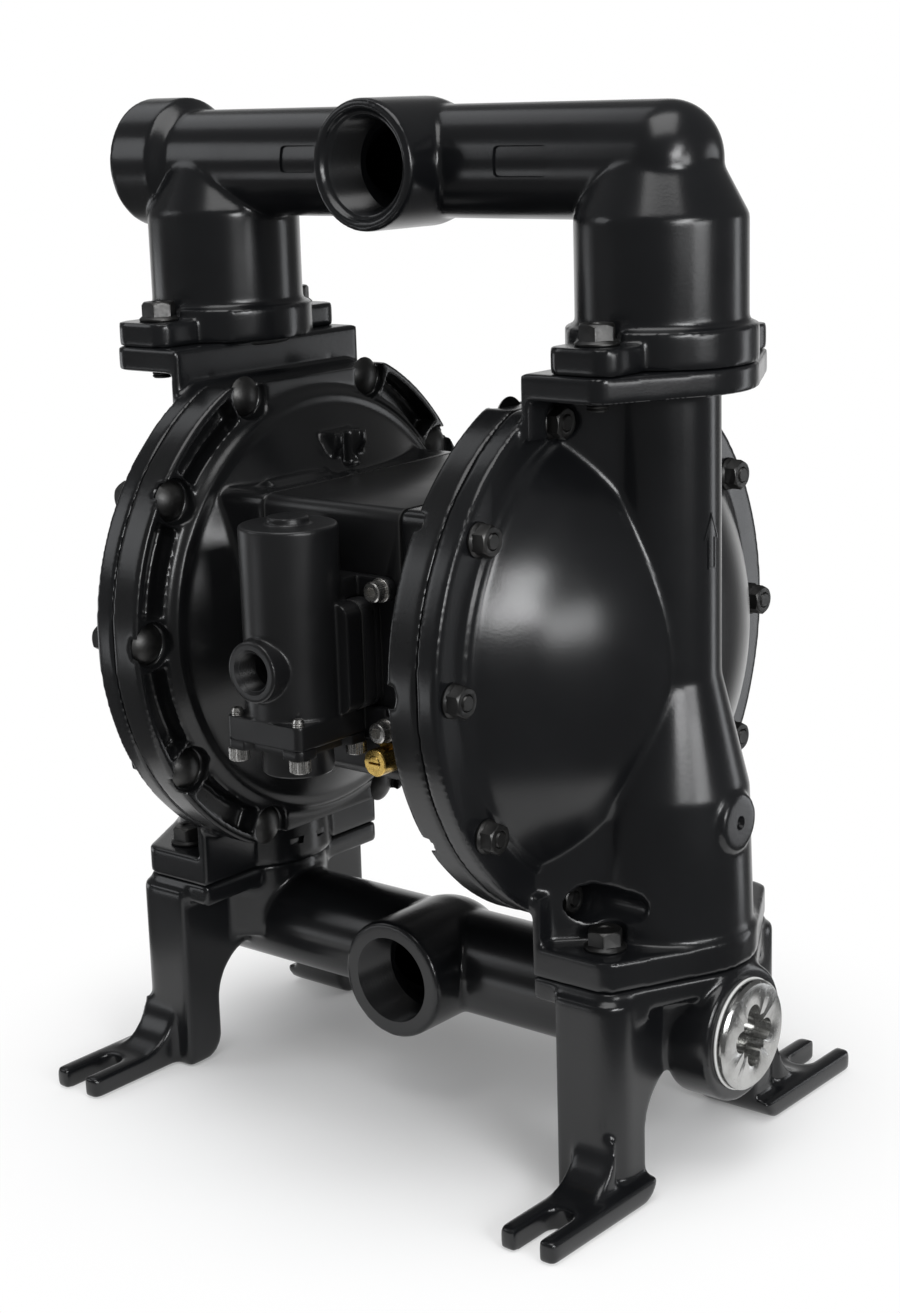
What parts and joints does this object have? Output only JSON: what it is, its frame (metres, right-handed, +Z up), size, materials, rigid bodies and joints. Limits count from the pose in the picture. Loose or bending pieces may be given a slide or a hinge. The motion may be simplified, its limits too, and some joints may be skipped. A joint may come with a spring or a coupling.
{
  "type": "air operated double diaphragm pump",
  "caption": "Air operated double diaphragm pump with ball valves, 1 1/2 inch threaded ports on top and bottom manifolds, spool air valve and slotted feet.",
  "frame": {"origin": "on the floor, under the middle of the pump", "axes": "+X along the diaphragm rod, -Y to the front with the air valve and the ports, +Z up"},
  "size_m": [0.3716, 0.27, 0.5065],
  "materials": {
    "ball_white": "smooth",
    "bolt_black": "black oxide",
    "brass": "bright",
    "bronze": "turned",
    "cast_gloss_black": "gloss paint on aluminium casting",
    "cast_satin_black": "satin paint on aluminium casting",
    "clamp_plate": "turned",
    "diaphragm_rubber": "matt",
    "gasket": "matt",
    "muffler_plastic": "matt",
    "plate_black": "satin",
    "plug_steel": "turned",
    "rod_steel": "ground",
    "screw_steel": "bright zinc",
    "seal_rubber": "matt",
    "seal_white": "smooth",
    "seat_steel": "turned",
    "spool_plastic": "smooth",
    "valve_black": "semi gloss paint on aluminium casting"
  },
  "bodies": {
    "pump": {"air_cap_left": "cast_satin_black", "air_cap_right": "cast_satin_black", "air_cap_screws": "screw_steel", "centre_body": "valve_black", "clamp_bolts_left": "bolt_black", "clamp_bolts_right": "bolt_black", "clamp_nuts_left": "bolt_black", "clamp_nuts_right": "bolt_black", "end_cap_screws": "screw_steel", "fluid_cap_left": "cast_gloss_black", "fluid_cap_right": "cast_gloss_black", "ground_lug": "brass", "ground_screw": "brass", "hub_gasket_left": "gasket", "hub_gasket_right": "gasket", "inlet_end_plug": "plug_steel", "inlet_flange_bolts": "bolt_black", "inlet_manifold": "cast_gloss_black", "inlet_plug_seal": "seal_white", "inlet_seat_left": "seat_steel", "inlet_seat_right": "seat_steel", "inlet_seat_seals": "seal_rubber", "muffler": "muffler_plastic", "outlet_end_plug": "plug_steel", "outlet_flange_bolts": "bolt_black", "outlet_manifold": "cast_gloss_black", "outlet_seat_left": "seat_steel", "outlet_seat_right": "seat_steel", "outlet_seat_seals": "seal_rubber", "pilot_sleeve": "bronze", "rod_bush_left": "bronze", "rod_bush_right": "bronze", "rod_seal_left": "seal_rubber", "rod_seal_right": "seal_rubber", "valve_body": "valve_black", "valve_end_cap": "valve_black", "valve_gasket_inner": "gasket", "valve_gasket_outer": "gasket", "valve_plate": "plate_black", "valve_screws": "screw_steel", "valve_spacer": "plate_black", "valve_washers": "screw_steel"},
    "rod": {"diaphragm_rod": "rod_steel", "inner_plate_right": "clamp_plate", "inner_plate_left": "clamp_plate", "outer_plate_right": "clamp_plate", "outer_plate_left": "clamp_plate", "diaphragm_right": "diaphragm_rubber", "diaphragm_left": "diaphragm_rubber", "rod_end_screw_right": "screw_steel", "rod_end_screw_left": "screw_steel"},
    "pilot": {"pilot_rod": "rod_steel"},
    "spool": {"valve_spool": "spool_plastic", "spool_seals": "seal_rubber", "valve_slide": "spool_plastic"},
    "inlet_ball_r": {"inlet_ball_right": "ball_white"},
    "inlet_ball_l": {"inlet_ball_left": "ball_white"},
    "outlet_ball_r": {"outlet_ball_right": "ball_white"},
    "outlet_ball_l": {"outlet_ball_left": "ball_white"}
  },
  "joints": [
    {"name": "rod_slide", "type": "slide", "parent": "pump", "child": "rod", "axis": [1, 0, 0], "range_m": [-0.02, 0.02], "deforming": ["diaphragm_right", "diaphragm_left"]},
    {"name": "pilot_slide", "type": "slide", "parent": "pump", "child": "pilot", "axis": [1, 0, 0], "range_m": [-0.004, 0.004]},
    {"name": "spool_slide", "type": "slide", "parent": "pump", "child": "spool", "axis": [0, 0, 1], "range_m": [0, 0.012]},
    {"name": "inlet_ball_r_lift", "type": "slide", "parent": "pump", "child": "inlet_ball_r", "axis": [0, 0, 1], "range_m": [0, 0.012]},
    {"name": "inlet_ball_l_lift", "type": "slide", "parent": "pump", "child": "inlet_ball_l", "axis": [0, 0, 1], "range_m": [0, 0.012]},
    {"name": "outlet_ball_r_lift", "type": "slide", "parent": "pump", "child": "outlet_ball_r", "axis": [0, 0, 1], "range_m": [0, 0.012]},
    {"name": "outlet_ball_l_lift", "type": "slide", "parent": "pump", "child": "outlet_ball_l", "axis": [0, 0, 1], "range_m": [0, 0.012]}
  ],
  "couplings": [
    {"joint": "pilot_slide", "follows": "rod_slide", "ratio": 0.2}
  ]
}
